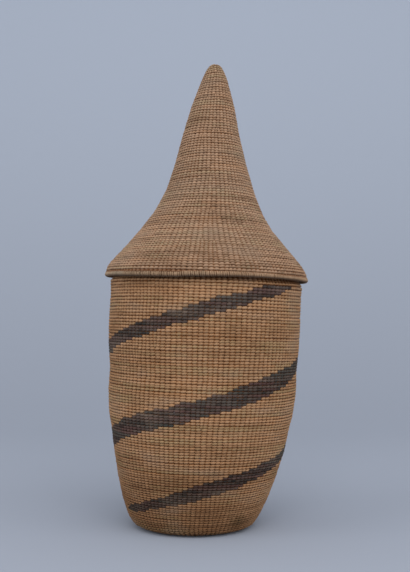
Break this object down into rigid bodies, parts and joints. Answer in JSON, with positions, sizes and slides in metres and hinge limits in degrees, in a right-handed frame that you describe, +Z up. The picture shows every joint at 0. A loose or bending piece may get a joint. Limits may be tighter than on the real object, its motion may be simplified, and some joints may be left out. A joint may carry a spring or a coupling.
{
  "type": "lidded basket",
  "caption": "Tall twined storage basket with a bellied body, dark spiral stripes and a flared, pointed lift-off lid on a rolled rim.",
  "frame": {"origin": "middle of the flat underside of the base, on the surface that the basket stands on", "axes": "+Z up; the pictured front faces -Y, with +X to its right"},
  "size_m": [0.1198, 0.12, 0.2715],
  "materials": {
    "natural_weave": "matte",
    "dyed_weave": "matte",
    "lid_weave": "matte",
    "rim_binding": "matte",
    "stick_ends": "matte"
  },
  "bodies": {
    "basket": {"base_start": "stick_ends", "base_weave": "natural_weave", "wall_weave": "natural_weave", "dark_stripe_front": "dyed_weave", "dark_stripe_back": "dyed_weave", "mouth_rim_core": "stick_ends", "mouth_rim_binding": "rim_binding"},
    "lid": {"lid_rim_core": "stick_ends", "lid_rim_binding": "rim_binding", "lid_weave": "lid_weave", "lid_tip_start": "lid_weave"}
  },
  "joints": [
    {"name": "lid_lift", "type": "slide", "parent": "basket", "child": "lid", "axis": [0.038, -0.016, 0.9992], "range_m": [0, 0.15]}
  ]
}
